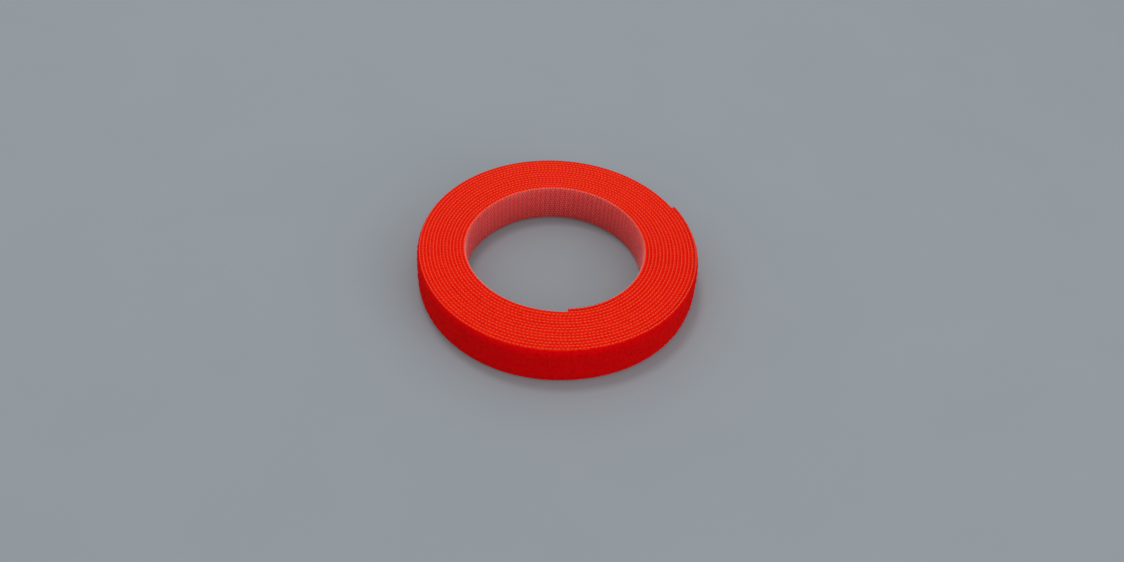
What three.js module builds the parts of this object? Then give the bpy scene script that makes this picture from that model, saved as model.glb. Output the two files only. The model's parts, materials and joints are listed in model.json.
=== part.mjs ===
// Hook and loop tape roll, lying flat. Millimetres, +Z up.
// One back-to-back tape is wound on itself with no core: a hook strip faces the bore,
// and a loop strip faces out. Both run in one unbroken spiral from the bore to the rim.
// The tape's two free ends peel off the roll, so each is a chain of short stretches.
// The origin is the bottom centre of the roll's bounding box.

import * as THREE from 'three';

// Tape
const tapeWidth = 20;
const hookThickness = 0.48;
const loopThickness = 0.7;
const bondGap = 0.3;
const turnGap = 0.3;

// Winding, counterclockwise from the bore to the rim as seen from above
const boreRadius = 42.5;
const fullTurns = 14;
const innerEndDegrees = -80;
const outerEndDegrees = 32;
const stepsPerTurn = 36;

// Free ends: the outer tail peels outwards, and the inner lead peels into the bore
const tailStretches = 8;
const leadStretches = 3;
const hingeGap = 0.3;

// Finishes
const hookColor = '#b8443c';
const loopColor = '#b3060c';
const hookRoughness = 0.45;
const loopRoughness = 0.9;

// One turn of the tape takes both strips and the gap to the next turn
const pitch = hookThickness + bondGap + loopThickness + turnGap;
const turnDegrees = 360;
const stepDegrees = turnDegrees / stepsPerTurn;
const partTurnSteps = (outerEndDegrees - innerEndDegrees) / stepDegrees;
const lastStep = fullTurns * stepsPerTurn + partTurnSteps;
const leadHingeStep = leadStretches;
const tailHingeStep = Math.floor(lastStep) - tailStretches;

// Each strip's layer is the pair of radii that it lies between, counted from the tape's inner face
const hookLayer = { inside: 0, outside: hookThickness };
const loopLayer = { inside: hookThickness + bondGap, outside: hookThickness + bondGap + loopThickness };

// A corner of the winding: the spiral's point at a whole step
function corner(step, depth) {
  const angle = THREE.MathUtils.degToRad(innerEndDegrees + step * stepDegrees);
  const radius = boreRadius + depth + pitch * step / stepsPerTurn;
  return new THREE.Vector2(radius * Math.cos(angle), radius * Math.sin(angle));
}

// A point of the winding at any step, on the straight run between two corners
function windingPoint(step, depth) {
  const whole = Math.floor(step);
  return corner(whole, depth).lerp(corner(whole + 1, depth), step - whole);
}

// The steps where a stretch has a cross-section: its two ends and the corners between them
function sectionSteps(from, to) {
  const steps = [from];
  for (let step = Math.floor(from) + 1; step < to; step += 1) {
    steps.push(step);
  }
  steps.push(to);
  return steps;
}

// The winding's axis is set off from the origin, so that the bounding box is centred on it
function findAxis() {
  const box = new THREE.Box2();
  for (const step of sectionSteps(lastStep - stepsPerTurn, lastStep)) {
    box.expandByPoint(windingPoint(step, loopLayer.outside));
  }
  return box.getCenter(new THREE.Vector2()).negate();
}

const windingAxis = findAxis();

// One strip of the tape from one step to another, as a closed body of rectangular section
function stripGeometry(layer, from, to) {
  const steps = sectionSteps(from, to);
  const positions = [];
  for (const step of steps) {
    const inner = windingPoint(step, layer.inside).add(windingAxis);
    const outer = windingPoint(step, layer.outside).add(windingAxis);
    positions.push(inner.x, inner.y, 0);
    positions.push(outer.x, outer.y, 0);
    positions.push(outer.x, outer.y, tapeWidth);
    positions.push(inner.x, inner.y, tapeWidth);
  }
  const sides = 4;
  const indices = [];
  for (let section = 0; section < steps.length - 1; section += 1) {
    for (let side = 0; side < sides; side += 1) {
      const a = section * sides + side;
      const b = section * sides + (side + 1) % sides;
      indices.push(a, b + sides, b);
      indices.push(a, a + sides, b + sides);
    }
  }
  const end = (steps.length - 1) * sides;
  indices.push(0, 1, 2);
  indices.push(0, 2, 3);
  indices.push(end, end + 2, end + 1);
  indices.push(end, end + 3, end + 2);
  const geometry = new THREE.BufferGeometry();
  geometry.setAttribute('position', new THREE.Float32BufferAttribute(positions, 3));
  geometry.setIndex(indices);
  geometry.computeVertexNormals();
  return geometry;
}

// The distance from a point to the run between two others
function distanceToRun(point, from, to) {
  const run = to.clone().sub(from);
  const share = THREE.MathUtils.clamp(point.clone().sub(from).dot(run) / run.lengthSq(), 0, 1);
  return point.distanceTo(from.clone().addScaledVector(run, share));
}

// The least gap of a strip to its own next turn, measured both ways between corners and runs
function leastGapToItself(layer, from, to) {
  let least = Infinity;
  for (const step of sectionSteps(from, to - stepsPerTurn)) {
    const outer = windingPoint(step, layer.outside);
    const nextInner = windingPoint(step + stepsPerTurn, layer.inside);
    for (let near = -1; near < 1; near += 1) {
      const start = Math.max(Math.floor(step) + near, 0);
      const nextStart = windingPoint(start + stepsPerTurn, layer.inside);
      const nextEnd = windingPoint(start + 1 + stepsPerTurn, layer.inside);
      const ownStart = windingPoint(start, layer.outside);
      const ownEnd = windingPoint(start + 1, layer.outside);
      least = Math.min(least, distanceToRun(outer, nextStart, nextEnd));
      least = Math.min(least, distanceToRun(nextInner, ownStart, ownEnd));
    }
  }
  return least;
}

// Half the gap between the ends of two neighbouring stretches, in steps
function hingeTrim(step) {
  return hingeGap / 2 / corner(step, 0).distanceTo(corner(step + 1, 0));
}

const strips = [
  { name: 'hook', layer: hookLayer, color: hookColor, roughness: hookRoughness },
  { name: 'loop', layer: loopLayer, color: loopColor, roughness: loopRoughness },
];

function addStretch(group, suffix, from, to) {
  for (const strip of strips) {
    const material = new THREE.MeshStandardMaterial({
      color: strip.color,
      roughness: strip.roughness,
      metalness: 0,
    });
    const mesh = new THREE.Mesh(stripGeometry(strip.layer, from, to), material);
    mesh.name = `${strip.name}_${suffix}`;
    group.add(mesh);
  }
}

// The wound body of the roll, between the two end hinges
function addWinding(group) {
  const from = leadHingeStep + hingeTrim(leadHingeStep);
  const to = tailHingeStep - hingeTrim(tailHingeStep);
  addStretch(group, 'winding', from, to);
  for (const strip of strips) {
    const gap = leastGapToItself(strip.layer, from, to);
    console.log(`${strip.name} winding: least gap to itself ${gap.toFixed(3)} mm`);
  }
}

// The outer end, stretch by stretch from its hinge on the roll to its cut end
function addTail(group) {
  const tail = new THREE.Group();
  for (let index = 0; index < tailStretches; index += 1) {
    const from = tailHingeStep + index;
    const isLast = index === tailStretches - 1;
    const to = isLast ? lastStep : from + 1 - hingeTrim(from + 1);
    addStretch(tail, `tail_${index + 1}`, from + hingeTrim(from), to);
  }
  group.add(tail);
}

// The inner end, stretch by stretch from its hinge on the roll to its cut end
function addLead(group) {
  const lead = new THREE.Group();
  for (let index = 0; index < leadStretches; index += 1) {
    const to = leadHingeStep - index;
    const isLast = index === leadStretches - 1;
    const from = isLast ? 0 : to - 1 + hingeTrim(to - 1);
    addStretch(lead, `lead_${index + 1}`, from, to - hingeTrim(to));
  }
  group.add(lead);
}

// Where each end hinge stands: on the loop face for the tail, and on the hook face for the lead
function printHinges() {
  for (let index = 0; index < tailStretches; index += 1) {
    const place = windingPoint(tailHingeStep + index, loopLayer.outside).add(windingAxis);
    console.log(`tail hinge ${index + 1}: x ${place.x.toFixed(3)} y ${place.y.toFixed(3)}`);
  }
  for (let index = 0; index < leadStretches; index += 1) {
    const place = windingPoint(leadHingeStep - index, hookLayer.inside).add(windingAxis);
    console.log(`lead hinge ${index + 1}: x ${place.x.toFixed(3)} y ${place.y.toFixed(3)}`);
  }
}

// The tape's length, along the middle of its thickness
function printLength() {
  const middle = loopLayer.outside / 2;
  const steps = sectionSteps(0, lastStep);
  let length = 0;
  for (let index = 1; index < steps.length; index += 1) {
    const from = windingPoint(steps[index - 1], middle);
    length += from.distanceTo(windingPoint(steps[index], middle));
  }
  console.log(`winding axis: x ${windingAxis.x.toFixed(3)} y ${windingAxis.y.toFixed(3)}`);
  console.log(`tape length: ${length.toFixed(0)} mm`);
}

const roll = new THREE.Group();
roll.name = 'hook_and_loop_tape_roll';
addWinding(roll);
addTail(roll);
addLead(roll);
printHinges();
printLength();

export default roll;
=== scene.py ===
# %% [markdown]
# # A roll of hook and loop tape
# This lesson dresses a roll of back-to-back hook and loop tape. The roll is one long flat tape,
# wound on itself with no core. Each layer of the tape is made once as a short straight piece,
# repeated with an Array modifier and then wound with a Curve modifier, much as a factory
# makes the tape flat first and winds it last. All sizes are in metres.

# %% Load the frame
import json
import math
import random

import bpy
import numpy as np
from mathutils import Matrix, Vector


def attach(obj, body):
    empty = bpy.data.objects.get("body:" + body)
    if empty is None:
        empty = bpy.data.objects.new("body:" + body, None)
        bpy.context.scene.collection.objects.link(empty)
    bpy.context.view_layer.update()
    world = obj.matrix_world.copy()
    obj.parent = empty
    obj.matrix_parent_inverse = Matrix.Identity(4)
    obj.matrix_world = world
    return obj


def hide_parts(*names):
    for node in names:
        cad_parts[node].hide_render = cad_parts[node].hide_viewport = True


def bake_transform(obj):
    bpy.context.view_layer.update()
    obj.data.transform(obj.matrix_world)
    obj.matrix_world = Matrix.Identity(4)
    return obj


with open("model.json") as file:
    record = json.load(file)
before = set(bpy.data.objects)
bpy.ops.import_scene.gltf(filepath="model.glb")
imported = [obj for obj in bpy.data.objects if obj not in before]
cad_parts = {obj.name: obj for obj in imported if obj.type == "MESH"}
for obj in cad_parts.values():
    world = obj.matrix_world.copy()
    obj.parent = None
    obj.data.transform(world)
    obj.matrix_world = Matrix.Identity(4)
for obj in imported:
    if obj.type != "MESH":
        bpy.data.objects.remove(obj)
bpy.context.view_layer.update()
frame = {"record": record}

# %% [markdown]
# ## The tape's sizes
# The winding is a spiral. A *step* is ten degrees of it, counted from the inner end, and the
# hinges of the two free ends stand on whole steps. The bore's box in the record is centred on
# the winding's axis, so the axis is read from there. Depths are counted from the tape's hook
# side, which faces the bore, to its loop side, which faces out.

# %% Sizes
MM = 0.001
TAPE_WIDTH = 20 * MM
PITCH = 1.78 * MM
BORE_RADIUS = 42.5 * MM
INNER_END_DEGREES = -80
FULL_TURN = 360
STEPS_PER_TURN = 36
STEP_DEGREES = FULL_TURN / STEPS_PER_TURN
LAST_STEP = 515.2

# Layers, as depths: hooks up to where the film starts, film, knitted ground, pile. Between
# turns the pile reaches past one pitch, in among the next turn's hooks
FILM_FROM = 0.60 * MM
FILM_TO = 0.86 * MM
GROUND_TO = 1.20 * MM
PILE_TO = 2.28 * MM
PUSHED_PILE_TO = 2.20 * MM

# The film and the ground stop this much short of the next layer, so that no two faces coincide
BOND_GAP = 0.01 * MM

bore_low, bore_high = frame["record"]["physics"]["openings"][0]["box_m"]
AXIS = Vector([(low + high) / 2 for low, high in zip(bore_low, bore_high)])
AXIS.z = 0
print("winding axis:", tuple(round(c / MM, 3) for c in AXIS), "mm")


def spiral_point(step, depth):
    """A point of the winding, at a depth from the tape's hook side, on the floor."""
    angle = math.radians(INNER_END_DEGREES + STEP_DEGREES * step)
    radius = BORE_RADIUS + depth + PITCH * step / STEPS_PER_TURN
    return AXIS + Vector((radius * math.cos(angle), radius * math.sin(angle), 0))


# %% [markdown]
# ## The path that the tape is wound on
# A Curve modifier bends a straight mesh along a curve, by the length along it. So the path is a
# plain poly curve through many points of the spiral, and a list of the length at each point
# tells where a step lies on the straight tape. No real tape winds dead even, and this roll's
# turns were measured in the photograph. So the path rises and falls by up to a quarter of a
# millimetre, and never goes below the floor. The inner turns stand highest at the back, the
# bore is wider at the left, and all turns are drawn in at the front.

# %% Path
POINTS_PER_STEP = 4

# The path goes a little beyond both ends of the tape
PATH_FROM = -1
PATH_TO = 517

# The rise is two waves along the tape, of these heights, and of these radians for each step
SLOW_RISE = 0.07 * MM
FAST_RISE = 0.05 * MM
SLOW_RATE = 0.113
FAST_RATE = 0.371

# Places round the roll and the reach to either side of them, in degrees from the right, and
# how far the tape lies off there
BACK_PLACE = 90
BACK_REACH = 100
BACK_RISE = 0.6 * MM
BACK_RISE_TURNS = 3
LEFT_PLACE = 185
LEFT_REACH = 55
LEFT_PULL_INSIDE = 1.3 * MM
LEFT_PULL_OUTSIDE = -0.45 * MM
FRONT_PLACE_INSIDE = 262
FRONT_PLACE_OUTSIDE = 282
FRONT_REACH = 38
FRONT_PULL = -0.55 * MM


def soft_bump(step, place, reach):
    """1 at a place round the roll, in degrees, and falls softly to 0 at its reach either side."""
    degrees = INNER_END_DEGREES + STEP_DEGREES * step
    away = abs((degrees - place + FULL_TURN / 2) % FULL_TURN - FULL_TURN / 2)
    return math.cos(math.radians(FULL_TURN / 4 * min(1, away / reach))) ** 2


def rise_at(step):
    """How far the tape stands above the floor at a step."""
    slow = SLOW_RISE * (1 + math.sin(SLOW_RATE * step))
    fast = FAST_RISE * (1 + math.sin(FAST_RATE * step))
    inner_share = max(0, 1 - step / (BACK_RISE_TURNS * STEPS_PER_TURN))
    return slow + fast + BACK_RISE * inner_share * soft_bump(step, BACK_PLACE, BACK_REACH)


def pull_at(step):
    """How far the tape lies outside an even spiral at a step."""
    share = step / LAST_STEP
    left = LEFT_PULL_INSIDE * (1 - share) + LEFT_PULL_OUTSIDE * share
    front_place = FRONT_PLACE_INSIDE * (1 - share) + FRONT_PLACE_OUTSIDE * share
    left_bump = soft_bump(step, LEFT_PLACE, LEFT_REACH)
    return left * left_bump + FRONT_PULL * soft_bump(step, front_place, FRONT_REACH)


def path_point(step):
    """A point of the path: the back of the film, at the height of the tape's lower edge."""
    return spiral_point(step, FILM_TO + pull_at(step)) + Vector((0, 0, rise_at(step)))


path_count = (PATH_TO - PATH_FROM) * POINTS_PER_STEP + 1
path_steps = [PATH_FROM + index / POINTS_PER_STEP for index in range(path_count)]
path_points = [path_point(step) for step in path_steps]
path_lengths = [0.0]
for before, after in zip(path_points, path_points[1:]):
    path_lengths.append(path_lengths[-1] + (after - before).length)


def length_at(step):
    """How far along the straight tape a step lies."""
    place = (step - PATH_FROM) * POINTS_PER_STEP
    index = min(int(place), len(path_lengths) - 2)
    share = place - index
    return path_lengths[index] * (1 - share) + path_lengths[index + 1] * share


path_data = bpy.data.curves.new("tape_path", "CURVE")
path_data.dimensions = "3D"
path_data.twist_mode = "Z_UP"
spline = path_data.splines.new("POLY")
spline.points.add(len(path_points) - 1)
for point, place in zip(spline.points, path_points):
    point.co = (*place, 1)
tape_path = bpy.data.objects.new("tape_path", path_data)
bpy.context.scene.collection.objects.link(tape_path)
tape_length = length_at(LAST_STEP) - length_at(0)
print("tape length:", round(tape_length, 3), "m in", round(LAST_STEP / STEPS_PER_TURN, 2), "turns")

# %% [markdown]
# ## Helpers for selecting
# Operators act on what is selected, so every step deselects everything first, and then selects
# faces, edges or corners by a rule about their place.

# %% Selecting
# A direction counts as running along an axis when more than this share of it does
ALONG = 0.9


def only(obj):
    """Selects one object and nothing else."""
    for other in bpy.context.selected_objects:
        other.select_set(False)
    obj.select_set(True)
    bpy.context.view_layer.objects.active = obj


def edit_where(obj, kind, wanted):
    """Enters edit mode with the faces, edges or corners selected that wanted says yes to."""
    only(obj)
    bpy.ops.object.mode_set(mode="EDIT")
    bpy.ops.mesh.select_mode(type=kind)
    bpy.ops.mesh.select_all(action="DESELECT")
    bpy.ops.object.mode_set(mode="OBJECT")
    mesh = obj.data
    elements = {"FACE": mesh.polygons, "EDGE": mesh.edges, "VERT": mesh.vertices}[kind]
    for element in elements:
        element.select = wanted(element)
    bpy.ops.object.mode_set(mode="EDIT")


def leave_edit():
    bpy.ops.object.mode_set(mode="OBJECT")


def edge_rule(obj, rule):
    """Turns a rule about an edge's middle and direction into one about the edge."""
    corners = obj.data.vertices

    def wanted(edge):
        start, end = (corners[index].co for index in edge.vertices)
        return rule((start + end) / 2, (end - start).normalized())

    return wanted


# %% [markdown]
# ## Helpers for one cell of flat tape
# The straight tape runs along X, with Y towards the bore and Z across its width. The film, the
# ground and the pile each start as one short cell. It is a block with bevelled edges, and where
# it needs more shape it is cut across and its corners are moved.

# %% One cell
def tape_y(depth):
    """The straight tape's Y at a depth from the hook side."""
    return FILM_TO - depth


def add_block(name, length, depth_from, depth_to, low, high):
    """A block of straight tape that starts at X 0."""
    middle = (length / 2, (tape_y(depth_from) + tape_y(depth_to)) / 2, (low + high) / 2)
    size = (length, depth_to - depth_from, high - low)
    bpy.ops.mesh.primitive_cube_add(size=1, location=middle, scale=size)
    obj = bpy.context.object
    obj.name = name
    only(obj)
    bpy.ops.object.transform_apply(location=True, rotation=True, scale=True)
    return obj


def bevel_long_edges(obj, width, segments=1, rule=lambda middle: True):
    """Rounds the edges that run along the tape, where the rule says yes to their middles."""

    def wanted(middle, way):
        return abs(way.x) > ALONG and rule(middle)

    edit_where(obj, "EDGE", edge_rule(obj, wanted))
    bpy.ops.mesh.bevel(offset=width, segments=segments, affect="EDGES")
    leave_edit()


def slice_across(obj, cell, shares):
    """Cuts a cell across the tape at some shares of its length."""
    for share in shares:
        edit_where(obj, "FACE", lambda face: True)
        bpy.ops.mesh.bisect(plane_co=(cell * share, 0, 0), plane_no=(1, 0, 0))
        leave_edit()


def shift_corners(obj, wanted, move):
    edit_where(obj, "VERT", lambda corner: wanted(corner.co))
    bpy.ops.transform.translate(value=move)
    leave_edit()


# %% [markdown]
# ## Helpers for a whole length of tape
# A cell's two end faces come off, so that the cells of an Array weld into one long hose. The
# hose gets a UV map while it is straight, and its ends are closed again before it is wound.

# %% Lengths of tape
WELD = 0.001 * MM


def apply_modifiers(obj):
    only(obj)
    for modifier in list(obj.modifiers):
        bpy.ops.object.modifier_apply(modifier=modifier.name)


def cells_between(from_step, to_step, wished):
    """How many cells of about the wished length fit, and their exact length."""
    length = length_at(to_step) - length_at(from_step)
    count = max(1, round(length / wished))
    return count, length / count


def open_ends(obj):
    edit_where(obj, "FACE", lambda face: abs(face.normal.x) > ALONG)
    bpy.ops.mesh.delete(type="FACE")
    leave_edit()


def close_ends(obj):
    edit_where(obj, "FACE", lambda face: True)
    bpy.ops.mesh.fill_holes(sides=0)
    leave_edit()


def repeat_along(obj, length, count, weld=True):
    """Repeats a piece of this length along the tape."""
    row = obj.modifiers.new("repeat", "ARRAY")
    row.use_relative_offset = False
    row.use_constant_offset = True
    row.constant_offset_displace = (length, 0, 0)
    row.count = count
    row.use_merge_vertices = weld
    row.merge_threshold = WELD
    apply_modifiers(obj)


def lay_uv(obj, cell):
    """Writes each corner's place along and across the hose, counted in cells, as its UV."""
    mesh = obj.data
    places = np.empty(len(mesh.vertices) * 3, np.float32)
    mesh.vertices.foreach_get("co", places)
    places = places.reshape(-1, 3) / cell
    used = np.empty(len(mesh.loops), np.int32)
    mesh.loops.foreach_get("vertex_index", used)
    mesh.uv_layers.active.data.foreach_set("uv", places[used][:, [0, 2]].ravel())


def lay_at(obj, step):
    """Moves a straight piece from X 0 to where a step lies on the tape."""
    obj.data.transform(Matrix.Translation((length_at(step), 0, 0)))


def lay_row(obj, from_step, cell, count):
    """Repeats a cell, opened at both ends, as one hose from a step on."""
    open_ends(obj)
    repeat_along(obj, cell, count)
    lay_uv(obj, cell)
    lay_at(obj, from_step)


def wind(obj):
    """Bends a straight piece, laid at its length along the tape, onto the spiral."""
    bend = obj.modifiers.new("wind", "CURVE")
    bend.object = tape_path
    bend.deform_axis = "POS_X"
    apply_modifiers(obj)


# %% [markdown]
# ## Helpers for finishing a piece
# Fabric is roughened with a Displace modifier. What repeats is copied, each copy with a mesh of
# its own, and joined again. The export puts every object at the origin, so a copy's place goes
# into its mesh.

# %% Finishing a piece
NOISE_DEPTH = 1
NOISE_MIDDLE = 0.5
SMOOTH_DEGREES = 60


def roughen(obj, grain, height, way):
    """Pushes the surface to and fro along an axis, by soft noise of a grain size."""
    noise = bpy.data.textures.new("soft_noise", "CLOUDS")
    noise.noise_scale = grain
    noise.noise_depth = NOISE_DEPTH
    push = obj.modifiers.new("roughen", "DISPLACE")
    push.texture = noise
    push.texture_coords = "LOCAL"
    push.direction = way
    push.mid_level = NOISE_MIDDLE
    push.strength = height
    apply_modifiers(obj)


def copy_at(obj, place):
    """A copy with a mesh of its own, which a matrix has moved."""
    copy = obj.copy()
    copy.data = obj.data.copy()
    copy.data.transform(place)
    bpy.context.scene.collection.objects.link(copy)
    return copy


def join_pieces(name, parts):
    only(parts[0])
    for part in parts:
        part.select_set(True)
    bpy.ops.object.join()
    joined = bpy.context.object
    joined.name = name
    return joined


def smooth(obj, degrees=SMOOTH_DEGREES):
    """Shades a piece as smooth, but for its edges that are sharper than an angle."""
    only(obj)
    bpy.ops.object.shade_smooth_by_angle(angle=math.radians(degrees))


# %% [markdown]
# ## The film
# The hook side of the tape is a thin moulded film. On the roll its edge shows as a fine line in
# every turn, and its face shows between the hooks on the bore's wall. It is a flat hose of
# four sides with its long edges bevelled, because a sharp edge would catch no light.

# %% Film
FILM_CELL = 2.5 * MM
FILM_BEVEL = 0.05 * MM
FILM_TOP_INSET = 0.1 * MM
FILM_FOOT_INSET = 0.3 * MM


def add_film(name, from_step, to_step):
    count, cell = cells_between(from_step, to_step, FILM_CELL)
    low, high = FILM_FOOT_INSET, TAPE_WIDTH - FILM_TOP_INSET
    film = add_block(name, cell, FILM_FROM, FILM_TO - BOND_GAP, low, high)
    bevel_long_edges(film, FILM_BEVEL)
    lay_row(film, from_step, cell, count)
    close_ends(film)
    wind(film)
    return film


print("film thickness:", round((FILM_TO - BOND_GAP - FILM_FROM) / MM, 2), "mm")

# %% [markdown]
# ## The hooks
# Moulded hooks stand in close rows on the film, and lean along the tape. One hook is a small
# block, extruded four times and turned over at its tip. Neighbouring rows lean opposite ways, as
# on real tape, so that it grips in both directions. With no window, a rotate operator turns the
# other way round, so the turns are written with the sign that gives the right lean.

# %% Hooks
HOOK_PITCH = 1.31 * MM
HOOK_ROWS = 15
ROW_PITCH = 1.36 * MM
HOOK_EDGE = (TAPE_WIDTH - (HOOK_ROWS - 1) * ROW_PITCH) / 2
HOOK_LENGTH = 0.42 * MM
HOOK_WIDTH = 0.4 * MM
HOOK_FOOT = 0.06 * MM
HOOK_SMOOTH_DEGREES = 50

# Each extrusion: how far it goes along the tape and out of it, its turn in degrees, its scale
HOOK_STAGES = (
    (0.02 * MM, 0.17 * MM, 4, 0.66),
    (0.04 * MM, 0.19 * MM, 26, 0.92),
    (0.15 * MM, 0.12 * MM, 50, 0.9),
    (0.16 * MM, -0.06 * MM, 40, 0.62),
)


def extrude_on(obj, move, turn_degrees, scale):
    """Extrudes the selected face, and turns and scales the new one about its middle."""
    bpy.ops.mesh.extrude_region_move(TRANSFORM_OT_translate={"value": move})
    leave_edit()
    moved = [corner.co for corner in obj.data.vertices if corner.select]
    middle = sum(moved, Vector()) / len(moved)
    bpy.ops.object.mode_set(mode="EDIT")
    turn = math.radians(turn_degrees)
    bpy.ops.transform.rotate(value=turn, orient_axis="Z", center_override=middle)
    bpy.ops.transform.resize(value=(scale, scale, scale), center_override=middle)


def add_hook(name):
    """One hook with its foot in the film, leaning to +X, across height 0."""
    half = HOOK_WIDTH / 2
    hook = add_block(name, HOOK_LENGTH, FILM_FROM, FILM_FROM + HOOK_FOOT, -half, half)
    edit_where(hook, "FACE", lambda face: face.normal.y > ALONG)
    for along, out, turn_degrees, scale in HOOK_STAGES:
        extrude_on(hook, (along, out, 0), turn_degrees, scale)
    leave_edit()
    smooth(hook, HOOK_SMOOTH_DEGREES)
    return hook


def turned_hook(hook, cell):
    """A copy that leans to -X, in the same cell of the tape."""
    half_turn = Matrix.Rotation(math.pi, 4, "Y")
    return copy_at(hook, Matrix.Translation((cell, 0, 0)) @ half_turn)


def add_hooks(name, from_step, to_step, rows):
    """Hooks on some rows, counted from the tape's lower edge."""
    count, cell = cells_between(from_step, to_step, HOOK_PITCH)
    first = add_hook(name)
    second = turned_hook(first, cell)
    column = []
    for row in rows:
        source = first if row % 2 == 0 else second
        height = HOOK_EDGE + row * ROW_PITCH
        column.append(copy_at(source, Matrix.Translation((0, 0, height))))
    bpy.data.objects.remove(first)
    bpy.data.objects.remove(second)
    hooks = join_pieces(name, column)
    repeat_along(hooks, cell, count, weld=False)
    lay_at(hooks, from_step)
    wind(hooks)
    return hooks


print("hook rows:", HOOK_ROWS, "with the outer ones", round(HOOK_EDGE / MM, 2), "mm from the edge")

# %% [markdown]
# ## The knitted ground
# The loop side is a knitted ribbon. Its stitches turn back at both edges, and they show from
# above as a row of small beads in every turn. They stand a little proud of the tape's upper
# edge. One cell is one stitch: a bevelled block, cut across in four and drawn in at its two ends.

# %% Ground
STITCH = 1.9 * MM
STITCH_SHARES = (0.12, 0.5, 0.88)
NOTCH = 0.45 * MM
SHOULDER = 0.07 * MM
GROUND_BEVEL = 0.1 * MM
STITCH_PROUD = 0.25 * MM

# A corner is at a place when it is nearer to it than this
NEAR = 0.01 * MM


def draw_in_edge(obj, spots, side, drop):
    """Draws in one long edge at some spots along it; side is 1 at the top and -1 at the foot."""

    def wanted(place):
        at_spot = min(abs(place.x - spot) for spot in spots) < NEAR
        return at_spot and side * (place.z - TAPE_WIDTH / 2) > 0

    shift_corners(obj, wanted, (0, 0, -side * drop))


def draw_in_stitch(obj, cell):
    """Draws in both long edges towards a cell's ends, so that each stitch becomes a bead."""
    shoulders = (STITCH_SHARES[0] * cell, STITCH_SHARES[-1] * cell)
    for side in (1, -1):
        draw_in_edge(obj, (0, cell), side, NOTCH)
        draw_in_edge(obj, shoulders, side, SHOULDER)


def add_ground(name, from_step, to_step):
    count, cell = cells_between(from_step, to_step, STITCH)
    top = TAPE_WIDTH + STITCH_PROUD
    ground = add_block(name, cell, FILM_TO, GROUND_TO - BOND_GAP, 0, top)
    bevel_long_edges(ground, GROUND_BEVEL)
    slice_across(ground, cell, STITCH_SHARES)
    draw_in_stitch(ground, cell)
    lay_row(ground, from_step, cell, count)
    close_ends(ground)
    wind(ground)
    return ground


print("stitches along the tape:", cells_between(0, LAST_STEP, STITCH)[0])

# %% [markdown]
# ## The pile between two turns
# Brushed loops stand on the ground as a soft pile. Between turns only its edge shows, rounded
# and pushed into the hooks of the next turn, so a plain band is enough.

# %% Pile between turns
PILE_INSET = 0.1 * MM
PUSHED_PILE_BEVEL = 0.4 * MM
PILE_BEVEL_SEGMENTS = 2
COARSE_GRAIN = 1.1 * MM
EDGE_HEIGHT = 0.2 * MM


def start_pile(name, cell, reach, bevel):
    """One cell of pile, out to the depth of its reach, with its outer long edges rounded."""

    def at_face(middle):
        return middle.y < tape_y(reach) + NEAR

    pile = add_block(name, cell, GROUND_TO, reach, PILE_INSET, TAPE_WIDTH - PILE_INSET)
    bevel_long_edges(pile, bevel, PILE_BEVEL_SEGMENTS, at_face)
    return pile


def add_pushed_pile(name, from_step, to_step):
    count, cell = cells_between(from_step, to_step, STITCH)
    pile = start_pile(name, cell, PUSHED_PILE_TO, PUSHED_PILE_BEVEL)
    slice_across(pile, cell, STITCH_SHARES)
    lay_row(pile, from_step, cell, count)
    roughen(pile, COARSE_GRAIN, EDGE_HEIGHT, "Z")
    close_ends(pile)
    wind(pile)
    return pile


print("pile among the hooks:", round((PUSHED_PILE_TO - PITCH) / MM, 2), "mm deep")

# %% [markdown]
# ## The open pile
# On the last turn and on the free ends the pile's whole face shows: there the band's outer face
# is subdivided finely, drawn in softly towards its two edges, most at the upper one, and
# roughened with noise. On the last turn it also swells at the front of the roll.

# %% Crown and swell
# How far the face is drawn in at its upper edge, what share of that at its lower one, and how
# far in from the edges it starts
OPEN_CROWN = 0.85 * MM
PUSHED_CROWN = 0.3 * MM
FOOT_CROWN_SHARE = 0.45
CROWN_REACH = 4.0 * MM

# The swell's height at most, and its place round the roll and reach to either side, in degrees
SWELL = 1.15 * MM
SWELL_PLACE = 270
SWELL_REACH = 75


def crown_drop(z, reach):
    """How far a pile's face is drawn in, at a height across the tape."""
    crown = OPEN_CROWN if reach == PILE_TO else PUSHED_CROWN
    above = max(0, 1 - (TAPE_WIDTH - PILE_INSET - z) / CROWN_REACH) ** 2
    below = max(0, 1 - (z - PILE_INSET) / CROWN_REACH) ** 2
    return crown * (above + FOOT_CROWN_SHARE * below)


def crown_face(pile, reach):
    """Draws the face in towards both edges, and leaves the pile's foot where it is."""
    for corner in pile.data.vertices:
        height_share = (tape_y(GROUND_TO) - corner.co.y) / (reach - GROUND_TO)
        corner.co.y += crown_drop(corner.co.z, reach) * height_share


def swell_front(obj):
    """Moves the face of laid open pile, or its loops, further out at the front of the roll."""
    corners = obj.data.vertices
    steps = np.interp([corner.co.x for corner in corners], path_lengths, path_steps)
    for corner, step in zip(corners, steps):
        face = PILE_TO - GROUND_TO - crown_drop(corner.co.z, PILE_TO)
        height = tape_y(GROUND_TO) - corner.co.y
        share = min(face, max(0, height)) / (PILE_TO - GROUND_TO)
        corner.co.y -= SWELL * soft_bump(step, SWELL_PLACE, SWELL_REACH) * share


# %% [markdown]
# The outer face is cut into many small faces, so that the noise can raise a soft nap on it. The
# coarse noise gives the nap its clumps, and the fine one its tufts.

# %% Open pile
PILE_BEVEL = 0.3 * MM
PILE_CELL = 1.0 * MM
PILE_SHARES = (0.25, 0.5, 0.75)
FACE_CUTS = 40
FACE_HEIGHT = 0.12 * MM
FINE_GRAIN = 0.55 * MM
FINE_HEIGHT = 0.16 * MM


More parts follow.
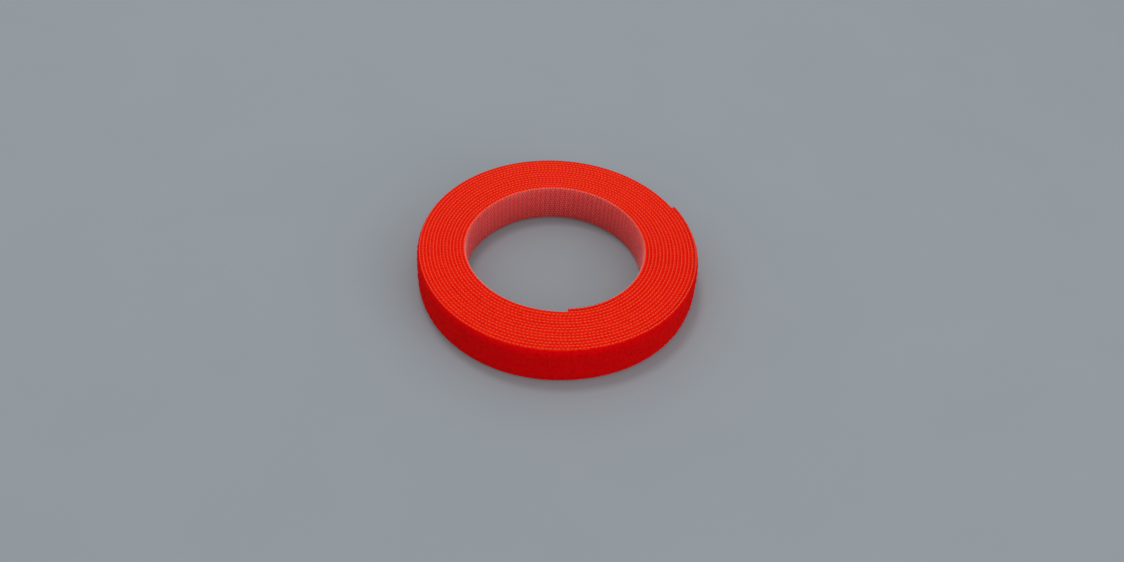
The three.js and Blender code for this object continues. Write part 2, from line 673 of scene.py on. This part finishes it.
def add_open_pile(name, from_step, to_step, reach):
    """Pile whose whole face shows, at once or when a free end is peeled."""

    def across_face(middle, way):
        return abs(way.z) > ALONG and middle.y < tape_y(reach) + NEAR

    count, cell = cells_between(from_step, to_step, PILE_CELL)
    pile = start_pile(name, cell, reach, PILE_BEVEL)
    edit_where(pile, "EDGE", edge_rule(pile, across_face))
    bpy.ops.mesh.subdivide(number_cuts=FACE_CUTS)
    leave_edit()
    slice_across(pile, cell, PILE_SHARES)
    crown_face(pile, reach)
    lay_row(pile, from_step, cell, count)
    if reach == PILE_TO:
        swell_front(pile)
    roughen(pile, COARSE_GRAIN, FACE_HEIGHT, "Y")
    roughen(pile, COARSE_GRAIN, EDGE_HEIGHT, "Z")
    roughen(pile, FINE_GRAIN, FINE_HEIGHT, "Y")
    close_ends(pile)
    wind(pile)
    return pile


print("open pile:", round((PILE_TO - GROUND_TO) / MM, 2), "mm thick, and", SWELL / MM, "mm swell")

# %% [markdown]
# ## The loops
# Single loops stand out of the pile, and give it its velvet look. A loop is half a thin ring. A
# patch of loops is set out at seeded random places. The last turn repeats one patch along the
# tape, and each stretch of a free end has a patch of its own.

# %% Loops
LOOP_RADIUS = 0.42 * MM
LOOP_THICKNESS = 0.05 * MM
LOOP_SEGMENTS = 10
LOOP_SIDES = 3
LOOPS_PER_SQUARE_MM = 0.62
LOOP_EDGE = 0.8 * MM
LOOP_SINK = 0.1 * MM
LOOP_LEAN = 0.5
LOOP_SIZES = (0.65, 1.1)
LOOP_SEED = 11


def add_loop(name):
    """Half a ring that stands on the pile's face."""
    bpy.ops.mesh.primitive_torus_add(
        major_segments=LOOP_SEGMENTS,
        minor_segments=LOOP_SIDES,
        major_radius=LOOP_RADIUS,
        minor_radius=LOOP_THICKNESS,
    )
    loop = bpy.context.object
    loop.name = name
    edit_where(loop, "FACE", lambda face: face.center.y > 0)
    bpy.ops.mesh.delete(type="FACE")
    bpy.ops.mesh.select_all(action="SELECT")
    bpy.ops.mesh.fill_holes(sides=0)
    leave_edit()
    return loop


def draw_loop_place(draw, patch, reach):
    """A random place, turn, lean and size for one loop of a patch, as a matrix."""
    x = draw.uniform(LOOP_RADIUS, patch - LOOP_RADIUS)
    z = LOOP_EDGE + draw.uniform(0, TAPE_WIDTH - 2 * LOOP_EDGE)
    turn = Matrix.Rotation(draw.uniform(0, math.pi), 4, "Y")
    lean = Matrix.Rotation(draw.uniform(-LOOP_LEAN, LOOP_LEAN), 4, "X")
    size = Matrix.Scale(draw.uniform(*LOOP_SIZES), 4)
    place = Matrix.Translation((x, tape_y(reach) + LOOP_SINK + crown_drop(z, reach), z))
    return place @ turn @ lean @ size


def add_loops(name, from_step, to_step, patches, seed, reach=PILE_TO):
    """Loops over the pile's face, as a number of equal patches."""
    patch = (length_at(to_step) - length_at(from_step)) / patches
    wide = TAPE_WIDTH - 2 * LOOP_EDGE
    count = round(patch / MM * wide / MM * LOOPS_PER_SQUARE_MM)
    draw = random.Random(seed)
    source = add_loop(name)
    copies = [copy_at(source, draw_loop_place(draw, patch, reach)) for _ in range(count)]
    bpy.data.objects.remove(source)
    loops = join_pieces(name, copies)
    repeat_along(loops, patch, patches, weld=False)
    lay_at(loops, from_step)
    if reach == PILE_TO:
        swell_front(loops)
    wind(loops)
    only(loops)
    bpy.ops.object.shade_smooth()
    return loops


print("loops:", LOOPS_PER_SQUARE_MM, "on each square millimetre")

# %% [markdown]
# ## Finishes
# Each finish is a short node tree. The pattern runs on the UV that every hose got while it was
# straight, so it follows the tape round the roll, or on Object coordinates where it has no
# direction. Colours vary a little from place to place, as dyed fibres and moulded film do.

# %% Material helpers
NOISE_DETAIL = 3.0
COLOUR_REACH = (0.3, 0.7)

# At a scale of 1, the wave texture's bands run through this many radians on a unit of length
WAVE_RADIANS = 20


def start_material(name, roughness):
    material = bpy.data.materials.new(name)
    material.use_nodes = True
    shader = material.node_tree.nodes["Principled BSDF"]
    shader.inputs["Roughness"].default_value = roughness
    return material, shader


def add_node(material, kind, **inputs):
    """A new node, with some of its inputs set."""
    node = material.node_tree.nodes.new(kind)
    for name, value in inputs.items():
        node.inputs[name].default_value = value
    return node


def link(material, source, target):
    material.node_tree.links.new(source, target)


def soft_noise(material, place, grain):
    noise = add_node(material, "ShaderNodeTexNoise", Scale=1 / grain, Detail=NOISE_DETAIL)
    link(material, place, noise.inputs["Vector"])
    return noise.outputs["Fac"]


def waves(material, place, per_cell):
    """Soft waves along the tape, lowest where two cells meet."""
    scale = per_cell * 2 * math.pi / WAVE_RADIANS
    wave = add_node(material, "ShaderNodeTexWave", Scale=scale)
    link(material, place, wave.inputs["Vector"])
    return wave.outputs["Fac"]


def halfway(material, first, second):
    mix = add_node(material, "ShaderNodeMix", Factor=0.5)
    link(material, first, mix.inputs["A"])
    link(material, second, mix.inputs["B"])
    return mix.outputs["Result"]


def colour_between(material, shader, amount, dark, light, reach=COLOUR_REACH):
    """Colours the surface from dark to light, as an amount goes through a reach."""
    ramp = add_node(material, "ShaderNodeValToRGB")
    ramp.color_ramp.elements[0].position = reach[0]
    ramp.color_ramp.elements[1].position = reach[1]
    ramp.color_ramp.elements[0].color = (*dark, 1)
    ramp.color_ramp.elements[1].color = (*light, 1)
    link(material, amount, ramp.inputs["Fac"])
    link(material, ramp.outputs["Color"], shader.inputs["Base Color"])


def bump_from(material, shader, height, depth):
    bump = add_node(material, "ShaderNodeBump", Strength=1.0, Distance=depth)
    link(material, height, bump.inputs["Height"])
    link(material, bump.outputs["Normal"], shader.inputs["Normal"])


# %% [markdown]
# The film and its hooks are moulded from a soft, slightly see-through plastic. Deep between the
# turns it is as red as the rest. On the bore's wall light scatters in the hooks, so they look
# pink, and the film between the hooks is a darker red with fine lines across. The film's cut edges
# on the bore are painted a lighter pink. This is a painted highlight, for the light from above
# that the top edge catches. Each has its own finish, made by one function.

# %% Film and hook finishes
MOULDED_GRAIN = 2.5 * MM
MOULDED_BUMP = 0.02 * MM
SCATTER_RADIUS = (1.0, 0.25, 0.2)
SCATTER_SCALE = 0.4 * MM


def make_moulded_finish(name, dark, light, roughness, gloss, scatter, lined=False):
    """A finish that varies by soft noise and, where it is lined, by lines across the tape too."""
    material, shader = start_material(name, roughness)
    places = add_node(material, "ShaderNodeTexCoord").outputs
    amount = soft_noise(material, places["Object"], MOULDED_GRAIN)
    if lined:
        amount = halfway(material, amount, waves(material, places["UV"], 1))
    colour_between(material, shader, amount, dark, light)
    bump_from(material, shader, amount, MOULDED_BUMP)
    shader.inputs["Specular IOR Level"].default_value = gloss
    shader.inputs["Subsurface Weight"].default_value = scatter
    shader.inputs["Subsurface Radius"].default_value = SCATTER_RADIUS
    shader.inputs["Subsurface Scale"].default_value = SCATTER_SCALE
    return material


DEEP_FINISH = make_moulded_finish(
    "deep_film",
    dark=(0.74, 0.014, 0.006),
    light=(0.84, 0.022, 0.01),
    roughness=0.6,
    gloss=0.1,
    scatter=0,
)
FILM_FINISH = make_moulded_finish(
    "bore_film",
    dark=(0.575, 0.023, 0.021),
    light=(0.75, 0.041, 0.037),
    roughness=0.42,
    gloss=0.5,
    scatter=0,
    lined=True,
)
# A painted highlight: the bore film's cut edges, at the top and the foot, are painted a lighter
# pink than its face.
PAINTED_EDGE_HIGHLIGHT = make_moulded_finish(
    "film_edge_painted_highlight",
    dark=(0.82, 0.11, 0.07),
    light=(0.88, 0.15, 0.1),
    roughness=0.5,
    gloss=0.5,
    scatter=0.2,
)
HOOK_FINISH = make_moulded_finish(
    "bore_hooks",
    dark=(0.735, 0.15, 0.145),
    light=(0.83, 0.2, 0.195),
    roughness=0.36,
    gloss=0.5,
    scatter=0.3,
)
moulded_finishes = (DEEP_FINISH, FILM_FINISH, PAINTED_EDGE_HIGHLIGHT, HOOK_FINISH)
print("moulded finishes:", ", ".join(finish.name for finish in moulded_finishes))

# %% [markdown]
# The ground is a knit, and fine ribs of yarn run across the tape. Its colour has painted shade and
# light: each stitch is painted darkest in the notch where it meets the next, and lightest on its
# crown. The pile is darker, because light is caught between its loops. Neither has a clear gloss,
# only a sheen in its own colour.

# %% Ground and pile finishes
GROUND_ROUGHNESS = 0.8
GROUND_DARK = (0.66, 0.014, 0.005)
GROUND_LIGHT = (0.96, 0.085, 0.026)
GROUND_REACH = (0.26, 0.5)
GROUND_GRAIN = 1.2 * MM
GROUND_SHEEN = 0.2
RIBS_PER_STITCH = 3
RIB_BUMP = 0.08 * MM
PILE_ROUGHNESS = 0.92
PILE_GRAIN = 1.6 * MM
NAP_GRAIN = 0.3 * MM
NAP_BUMP = 0.1 * MM
SHEEN_ROUGHNESS = 0.5
SHEEN_TINT = (1.0, 0.05, 0.03, 1)


def make_woolly(shader, sheen):
    shader.inputs["Specular IOR Level"].default_value = 0.0
    shader.inputs["Sheen Weight"].default_value = sheen
    shader.inputs["Sheen Roughness"].default_value = SHEEN_ROUGHNESS
    shader.inputs["Sheen Tint"].default_value = SHEEN_TINT


def make_ground_finish():
    material, shader = start_material("knitted_ground", GROUND_ROUGHNESS)
    places = add_node(material, "ShaderNodeTexCoord").outputs
    # The waves along the tape are painted shade in the notches between stitches and painted light
    # on their crowns.
    painted_notch_shade = waves(material, places["UV"], 1)
    amount = halfway(material, painted_notch_shade, soft_noise(material, places["Object"], GROUND_GRAIN))
    colour_between(material, shader, amount, GROUND_DARK, GROUND_LIGHT, GROUND_REACH)
    bump_from(material, shader, waves(material, places["UV"], RIBS_PER_STITCH), RIB_BUMP)
    make_woolly(shader, GROUND_SHEEN)
    return material


def make_pile_finish(name, dark, light, sheen):
    material, shader = start_material(name, PILE_ROUGHNESS)
    place = add_node(material, "ShaderNodeTexCoord").outputs["Object"]
    colour_between(material, shader, soft_noise(material, place, PILE_GRAIN), dark, light)
    bump_from(material, shader, soft_noise(material, place, NAP_GRAIN), NAP_BUMP)
    make_woolly(shader, sheen)
    return material


GROUND_FINISH = make_ground_finish()
PILE_FINISH = make_pile_finish(
    "brushed_pile", dark=(0.57, 0.0005, 0.002), light=(0.655, 0.0015, 0.004), sheen=0.33
)
PUSHED_FINISH = make_pile_finish(
    "pushed_pile", dark=(0.66, 0.006, 0.003), light=(0.8, 0.015, 0.006), sheen=0.2
)
woolly_finishes = (GROUND_FINISH, PILE_FINISH, PUSHED_FINISH)
print("woolly finishes:", ", ".join(finish.name for finish in woolly_finishes))

# %% [markdown]
# ## The two strips of one stretch
# The film and its hooks are moulded in one, and the ground and its pile are knitted in one. So a
# stretch of tape has two pieces: a hook strip and a loop strip. A layer's narrow edges, which
# show from above, can have a finish of their own.

# %% Strips
# A face belongs to a narrow edge when its normal points up or down by more than this
EDGE_NORMAL = 0.7
EDGE_ROWS = (0, HOOK_ROWS - 1)
FACE_ROWS = range(1, HOOK_ROWS - 1)


def dress(obj, finish):
    obj.data.materials.clear()
    obj.data.materials.append(finish)
    return obj


def finish_edges(layer, finish):
    """Gives the two narrow edges of a wound layer a finish of their own."""
    layer.data.materials.append(finish)
    for face in layer.data.polygons:
        if abs(face.normal.z) > EDGE_NORMAL:
            face.material_index = 1


def add_dressed_pile(name, from_step, to_step, reach=PILE_TO):
    """Open pile whose edges have the finish of the pile between turns."""
    pile = dress(add_open_pile(name, from_step, to_step, reach), PILE_FINISH)
    finish_edges(pile, PUSHED_FINISH)
    smooth(pile)
    return pile


def add_edged_hooks(name, from_step, to_step):
    """Hooks on every row: pink ones, and deep red ones in the two rows along the edges."""
    edge_hooks = dress(add_hooks(name + "_edge", from_step, to_step, EDGE_ROWS), DEEP_FINISH)
    face_hooks = dress(add_hooks(name + "_face", from_step, to_step, FACE_ROWS), HOOK_FINISH)
    return join_pieces(name, [face_hooks, edge_hooks])


def add_hook_strip(name, from_step, to_step):
    film = dress(add_film(name, from_step, to_step), FILM_FINISH)
    finish_edges(film, DEEP_FINISH)
    smooth(film)
    return join_pieces(name, [film, add_edged_hooks(name + "_hooks", from_step, to_step)])


def add_loop_strip(name, from_step, to_step, seed, reach):
    ground = dress(add_ground(name, from_step, to_step), GROUND_FINISH)
    pile = add_dressed_pile(name + "_pile", from_step, to_step, reach)
    loops = dress(add_loops(name + "_loops", from_step, to_step, 1, seed, reach), PILE_FINISH)
    smooth(ground)
    return join_pieces(name, [ground, pile, loops])


# %% [markdown]
# ## The winding
# The wound part runs from the inner free end's hinge, the lead's, to the outer one's, the
# tail's. Its layers are pieces of their own, because together they are too fine for one mesh.
# Hooks cover the film where the bore shows it, and between turns only the two outermost rows
# are made. The beds that the two free ends lie on are made in full, because peeling bares them.

# %% Winding
LEAD_HINGE_STEP = 3
TAIL_HINGE_STEP = 507

# The lead's bed starts one turn after the inner end, and it is made in full for a few steps
LEAD_BED_STEP = STEPS_PER_TURN
LEAD_BED_STEPS = 6
LEAD_BED_TO_STEP = LEAD_BED_STEP + LEAD_BED_STEPS

# The tail's bed lies one turn before the tail, and from its end on the outer turn is open
TAIL_BED_STEP = TAIL_HINGE_STEP - STEPS_PER_TURN
OPEN_TURN_STEP = LAST_STEP - STEPS_PER_TURN
TURN_PATCHES = 17


def keep_on_winding(obj, slot, *nodes):
    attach(obj, "winding")
    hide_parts(*nodes)
    print(obj.name, len(obj.data.polygons), "faces")


def add_wound_film():
    bore_film = dress(add_film("winding_bore_film", LEAD_HINGE_STEP, LEAD_BED_STEP), FILM_FINISH)
    # The bore film's cut edges get the painted highlight.
    finish_edges(bore_film, PAINTED_EDGE_HIGHLIGHT)
    film = dress(add_film("winding_film", LEAD_BED_TO_STEP, TAIL_HINGE_STEP), DEEP_FINISH)
    for strip in (bore_film, film):
        smooth(strip)
        keep_on_winding(strip, "hook_strip", "hook_winding")


def add_wound_hooks():
    bore_hooks = add_hooks("winding_bore_hooks", LEAD_HINGE_STEP, LEAD_BED_STEP, range(HOOK_ROWS))
    dress(bore_hooks, HOOK_FINISH)
    lead_bed = add_hook_strip("winding_lead_bed", LEAD_BED_STEP, LEAD_BED_TO_STEP)
    for piece in (bore_hooks, lead_bed):
        keep_on_winding(piece, "hook_strip", "hook_winding")
    for name, row in (("winding_top_hooks", HOOK_ROWS - 1), ("winding_bottom_hooks", 0)):
        hooks = add_hooks(name, LEAD_BED_TO_STEP, TAIL_HINGE_STEP, [row])
        keep_on_winding(dress(hooks, DEEP_FINISH), "hook_strip", "hook_winding")


def add_wound_knit():
    """The ground, its pile and the loops of the outer turn."""
    ground = dress(add_ground("winding_ground", LEAD_HINGE_STEP, TAIL_HINGE_STEP), GROUND_FINISH)
    smooth(ground)
    keep_on_winding(ground, "loop_strip", "loop_winding")
    inner = add_pushed_pile("winding_inner_pile", LEAD_HINGE_STEP, TAIL_BED_STEP)
    smooth(dress(inner, PUSHED_FINISH))
    bed = add_dressed_pile("winding_tail_bed", TAIL_BED_STEP, OPEN_TURN_STEP, PUSHED_PILE_TO)
    outer = add_dressed_pile("winding_outer_pile", OPEN_TURN_STEP, TAIL_HINGE_STEP)
    for pile in (inner, bed, outer):
        keep_on_winding(pile, "loop_strip", "loop_winding")
    loops = add_loops("winding_loops", OPEN_TURN_STEP, TAIL_HINGE_STEP, TURN_PATCHES, LOOP_SEED)
    keep_on_winding(dress(loops, PILE_FINISH), "loop_strip", "loop_winding")


add_wound_film()
add_wound_hooks()
add_wound_knit()

# %% [markdown]
# ## The two free ends
# Each free end is a chain of short stretches, from the winding's hinge to the cut end, made on the
# winding's path. A stretch of the looks reaches from the middle of one hinged stretch to the
# middle of the next, and neighbours lap a little.

# %% Free ends
TAIL_STRETCHES = 8
LEAD_STRETCHES = 3
HALF_STRETCH = 0.5
LAP = 0.03


def add_free_end(prefix, hinge_step, stretches, way, end_step, reach):
    """Free stretches from the winding's last hinge to the cut end; way is 1 or -1 in steps."""
    for number in range(stretches):
        hinge = hinge_step + way * number
        root = number == 0
        start = hinge - way * (0 if root else HALF_STRETCH)
        end = end_step if number == stretches - 1 else hinge + way * (HALF_STRETCH + LAP)
        low, high = sorted((start - way * LAP, end))
        label = f"{prefix}_{number + 1}"
        hook_strip = add_hook_strip(f"hook_strip_{label}", low, high)
        seed = LOOP_SEED + number + 1
        loop_strip = add_loop_strip(f"loop_strip_{label}", low, high, seed, reach)
        for strip, kind in ((hook_strip, "hook"), (loop_strip, "loop")):
            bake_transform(strip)
            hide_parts(f"{kind}_{label}")
    print(prefix, "reaches from step", hinge_step, "to", end_step)


add_free_end("tail", TAIL_HINGE_STEP, TAIL_STRETCHES, 1, LAST_STEP, PILE_TO)
add_free_end("lead", LEAD_HINGE_STEP, LEAD_STRETCHES, -1, 0, PUSHED_PILE_TO)
bpy.data.objects.remove(tape_path)

# %% [markdown]
# ## The floor
# The roll lies on a plain blue-grey board. It is a large sheet with a very faint mottle.

# %% Floor
FLOOR_SIZE = 6.0
FLOOR_ROUGHNESS = 0.75
FLOOR_GLOSS = 0.15
FLOOR_GRAIN = 60 * MM
FLOOR_DARK = (0.259, 0.289, 0.315)
FLOOR_LIGHT = (0.268, 0.296, 0.321)


def make_floor_finish():
    material, shader = start_material("floor_board", FLOOR_ROUGHNESS)
    place = add_node(material, "ShaderNodeTexCoord").outputs["Object"]
    mottle = soft_noise(material, place, FLOOR_GRAIN)
    colour_between(material, shader, mottle, FLOOR_DARK, FLOOR_LIGHT)
    shader.inputs["Specular IOR Level"].default_value = FLOOR_GLOSS
    return material


bpy.ops.mesh.primitive_plane_add(size=FLOOR_SIZE, location=(0, 0, 0))
floor = bpy.context.object
floor.name = "floor"
dress(floor, make_floor_finish())
print("floor:", FLOOR_SIZE, "m square")

# %% [markdown]
# ## Light
# Most of the light comes evenly from a plain white world, as in a room with a pale ceiling. A
# soft lamp high behind the roll, a little to its left, deepens the shadow along the bore's wall,
# and a low one at the front and right lights the walls. A colour facing up renders about as it
# is written.

# %% Light
KEY_PLACE = (-0.22, 0.36, 1.35)
KEY_SIZE = 0.28
KEY_WATTS = 4.2
SIDE_PLACE = (1.1, -0.85, 0.45)
SIDE_SIZE = 0.8
SIDE_WATTS = 4.0
WORLD_STRENGTH = 0.83


def add_lamp(name, place, size, watts):
    """A square soft lamp that faces the roll."""
    data = bpy.data.lights.new(name, "AREA")
    data.energy = watts
    data.size = size
    lamp = bpy.data.objects.new(name, data)
    lamp.location = place
    lamp.rotation_euler = (-lamp.location).to_track_quat("-Z", "Y").to_euler()
    bpy.context.scene.collection.objects.link(lamp)


add_lamp("key_lamp", KEY_PLACE, KEY_SIZE, KEY_WATTS)
add_lamp("side_lamp", SIDE_PLACE, SIDE_SIZE, SIDE_WATTS)

world = bpy.data.worlds.new("studio")
bpy.context.scene.world = world
world.use_nodes = True
background = world.node_tree.nodes["Background"]
background.inputs["Color"].default_value = (1, 1, 1, 1)
background.inputs["Strength"].default_value = WORLD_STRENGTH
bpy.context.scene.view_settings.view_transform = "Standard"
print("light: a world of", WORLD_STRENGTH, "and lamps of", KEY_WATTS, "and", SIDE_WATTS, "watts")

# %% [markdown]
# ## Camera
# The photograph looks down on the roll by almost forty-five degrees. The camera's pitch, roll,
# lens and distance come from fitting the roll's circles to the picture.

# %% Camera
SENSOR = 36.0
FRAME_WIDTH = 1124
FOCAL_PIXELS = 1076
CAMERA_PITCH = math.radians(44.72)
CAMERA_ROLL = math.radians(-4.28)
OUTER_RADIUS = 69.75 * MM
CAMERA_DISTANCE = 7.83 * OUTER_RADIUS
AIM_RIGHT = 0.052 * OUTER_RADIUS
AIM_UP = -0.040 * OUTER_RADIUS

forward = Vector((0, math.cos(CAMERA_PITCH), -math.sin(CAMERA_PITCH)))
up = Vector((0, math.sin(CAMERA_PITCH), math.cos(CAMERA_PITCH)))
right = Vector((1, 0, 0))
camera_data = bpy.data.cameras.new("camera")
camera_data.sensor_width = SENSOR
camera_data.lens = FOCAL_PIXELS / FRAME_WIDTH * SENSOR
camera = bpy.data.objects.new("camera", camera_data)
bpy.context.scene.collection.objects.link(camera)
side = right * math.cos(CAMERA_ROLL) - up * math.sin(CAMERA_ROLL)
top = right * math.sin(CAMERA_ROLL) + up * math.cos(CAMERA_ROLL)
turned = Matrix((side, top, -forward)).transposed().to_4x4()
place = AXIS - forward * CAMERA_DISTANCE + right * AIM_RIGHT + up * AIM_UP
camera.matrix_world = Matrix.Translation(place) @ turned
bpy.context.scene.camera = camera
print("camera:", round(camera_data.lens, 2), "mm lens at", round(CAMERA_DISTANCE, 3), "m")
